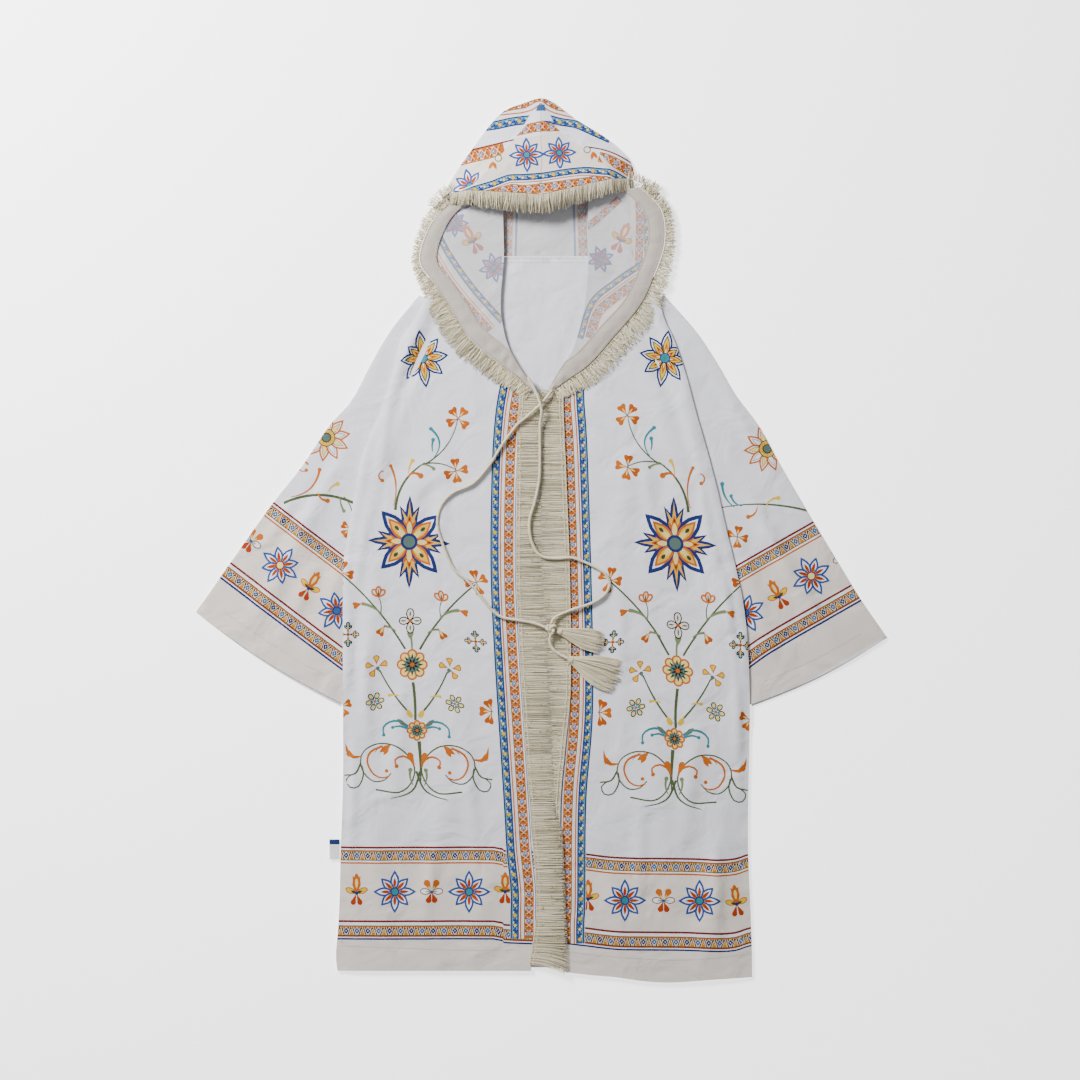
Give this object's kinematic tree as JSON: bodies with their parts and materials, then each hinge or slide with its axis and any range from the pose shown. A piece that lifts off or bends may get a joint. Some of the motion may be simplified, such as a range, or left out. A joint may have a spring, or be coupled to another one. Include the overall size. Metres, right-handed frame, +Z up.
{
  "type": "hooded kaftan laid flat",
  "caption": "Open-front hooded kaftan with wide sleeves, laid flat on its back: fringed front edges and hood, a knotted drawstring with tassels, folk flower print.",
  "frame": {"origin": "on the surface that the kaftan lies on, under the middle of its outline without the drawstring", "axes": "+Z up from the surface, +Y from the hem towards the hood, +X to the right as seen from above, which is the wearer's left"},
  "size_m": [0.864, 1.1051, 0.0268],
  "materials": {
    "white_cloth": "white printed plain-weave cotton",
    "printed_hood_cloth": "the same cotton, printed side out",
    "hood_cloth_inside": "the same cotton, unprinted side with the print showing faintly through",
    "cream_facing": "cream plain-weave cotton",
    "fringe_yarn": "cream cut yarn with gold metal thread",
    "twisted_cord": "cream twisted cotton cord",
    "tassel_yarn": "cream cut yarn",
    "woven_label": "white woven ribbon"
  },
  "bodies": {
    "root": {"back": "white_cloth", "hood_back": "white_cloth", "front_left": "white_cloth", "front_right": "white_cloth", "sleeve_left": "white_cloth", "sleeve_right": "white_cloth", "hood_crown_left": "printed_hood_cloth", "hood_crown_right": "printed_hood_cloth", "hood_side_left": "hood_cloth_inside", "hood_side_right": "hood_cloth_inside", "facing_left": "cream_facing", "facing_right": "cream_facing", "fringe_front_left": "fringe_yarn", "fringe_front_right": "fringe_yarn", "fringe_hood_left": "fringe_yarn", "fringe_hood_right": "fringe_yarn", "fringe_hood_top": "fringe_yarn", "cord_left": "twisted_cord", "cord_right": "twisted_cord", "cord_tail": "twisted_cord", "knot": "twisted_cord", "tassel_upper": "tassel_yarn", "tassel_lower": "tassel_yarn", "label": "woven_label"}
  },
  "joints": []
}
